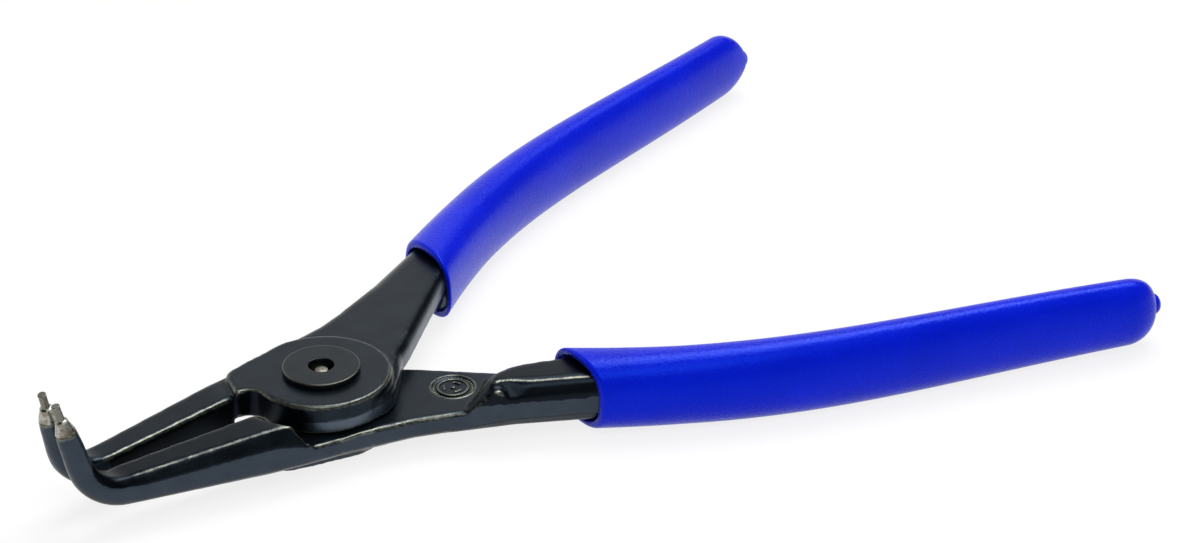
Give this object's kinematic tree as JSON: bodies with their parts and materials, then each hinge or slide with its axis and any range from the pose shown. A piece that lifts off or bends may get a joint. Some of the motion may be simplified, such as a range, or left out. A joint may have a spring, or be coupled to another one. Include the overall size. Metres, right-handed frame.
{
  "type": "circlip pliers",
  "caption": "Pliers for external retaining rings: two forged levers on a lap joint, jaws bent up 90 degrees with pin tips, and blue dipped grips.",
  "frame": {"origin": "on the pivot's axis, at the flat back face of the rivet's head and the lower hub", "axes": "+X from the jaws to the grips along the tool, +Y towards the upper lever's side, +Z along the pivot, the way the tips point"},
  "size_m": [0.17, 0.1146, 0.023],
  "materials": {
    "black_oxide_steel": "forged steel with a black oxide coat, satin",
    "bare_steel": "bare turned steel",
    "blue_vinyl": "dipped vinyl, satin"
  },
  "bodies": {
    "lower": {"lower_lever": "black_oxide_steel", "lower_tip": "bare_steel", "lower_grip": "blue_vinyl", "pivot_sleeve": "black_oxide_steel", "pivot_rivet": "bare_steel"},
    "upper": {"upper_lever": "black_oxide_steel", "upper_tip": "bare_steel", "upper_grip": "blue_vinyl"}
  },
  "joints": [
    {"name": "pivot", "type": "hinge", "parent": "lower", "child": "upper", "pos_m": [0, 0, 0.0049], "axis": [0, 0, 1], "range_deg": [-42, 2]}
  ]
}
